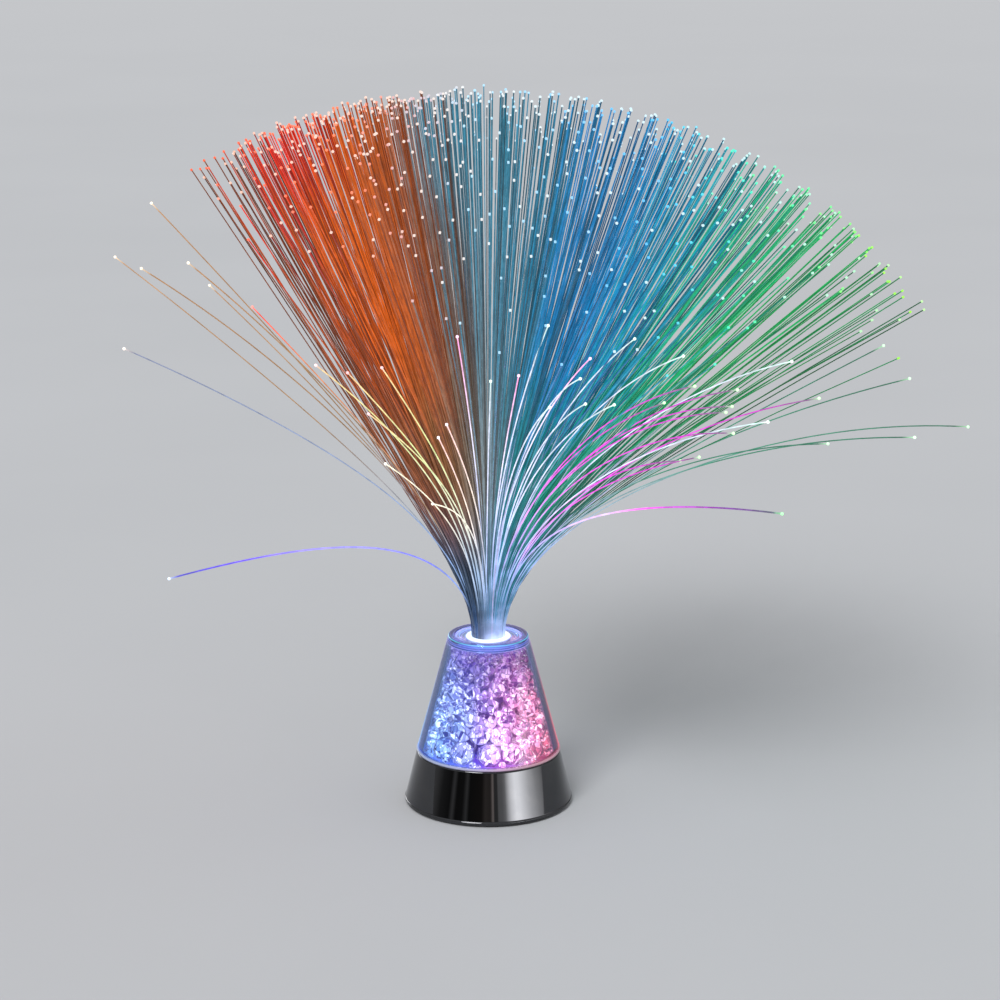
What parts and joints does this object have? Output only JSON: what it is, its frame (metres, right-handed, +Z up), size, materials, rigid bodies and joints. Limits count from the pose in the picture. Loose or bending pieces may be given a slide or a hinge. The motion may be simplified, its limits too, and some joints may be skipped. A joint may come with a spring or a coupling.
{
  "type": "fiber optic lamp",
  "caption": "Battery table lamp: a spray of glowing optical fibres rises from a clear cone of faceted crystals on a chrome base band.",
  "frame": {"origin": "on the table, at the centre of the rubber foot ring, under the lamp's axis", "axes": "+Z up along the lamp's axis, front towards -Y, +X to the right seen from the front"},
  "size_m": [0.3838, 0.3563, 0.332],
  "materials": {
    "chrome": "dark chrome plate, mirror polish",
    "clear_acrylic": "clear acrylic, polished",
    "crystal": "clear acrylic chunks, faceted",
    "white_collar": "translucent white, polished",
    "seal": "translucent silicone",
    "foot_rubber": "matt",
    "cover_plastic": "fine spark texture",
    "screw_steel": "zinc plated",
    "cell_sleeve": "plain dark sleeve",
    "contact_steel": "nickel plated",
    "switch_plastic": "moulded",
    "circuit_board": "green solder mask",
    "led_epoxy": "clear epoxy",
    "chip": "moulded",
    "red_wire": "PVC",
    "black_wire": "PVC",
    "potting": "clear resin, polished end",
    "fibre": "clear acrylic fibre, lit from below"
  },
  "bodies": {
    "base": {"base_ring": "chrome", "rim_seal": "seal", "foot_ring": "foot_rubber", "bottom_cover": "cover_plastic", "cover_screws": "screw_steel", "board_screws": "screw_steel", "battery_1": "cell_sleeve", "battery_2": "cell_sleeve", "battery_3": "cell_sleeve", "contact_plates": "contact_steel", "battery_springs": "contact_steel", "switch_body": "switch_plastic", "led_board": "circuit_board", "centre_leds": "led_epoxy", "ring_leds": "led_epoxy", "driver_chip": "chip", "resistors": "chip", "red_lead": "red_wire", "black_lead": "black_wire", "switch_lead": "red_wire", "light_plate": "clear_acrylic", "centre_tube": "clear_acrylic", "clear_cone": "clear_acrylic", "top_cap": "clear_acrylic", "crystals": "crystal"},
    "door": {"battery_door": "cover_plastic", "door_screws": "screw_steel"},
    "switch": {"switch_knob": "switch_plastic"},
    "spray": {"spray_sleeve": "white_collar", "bundle_core": "potting", "fibre_tuft_middle": "fibre", "fibre_tuft_1": "fibre", "fibre_tuft_2": "fibre", "fibre_tuft_3": "fibre", "fibre_tuft_4": "fibre", "fibre_tuft_5": "fibre", "fibre_tuft_6": "fibre", "fibre_tuft_7": "fibre", "fibre_tuft_8": "fibre", "loose_fibres_left": "fibre", "loose_fibres_front": "fibre", "loose_fibres_right": "fibre"}
  },
  "joints": [
    {"name": "spray_lift", "type": "slide", "parent": "base", "child": "spray", "axis": [0, 0, 1], "range_m": [0, 0.06]},
    {"name": "door_lift", "type": "slide", "parent": "base", "child": "door", "axis": [0, 0, -1], "range_m": [0, 0.012]},
    {"name": "switch_slide", "type": "slide", "parent": "base", "child": "switch", "axis": [1, 0, 0], "range_m": [0, 0.0024]}
  ]
}
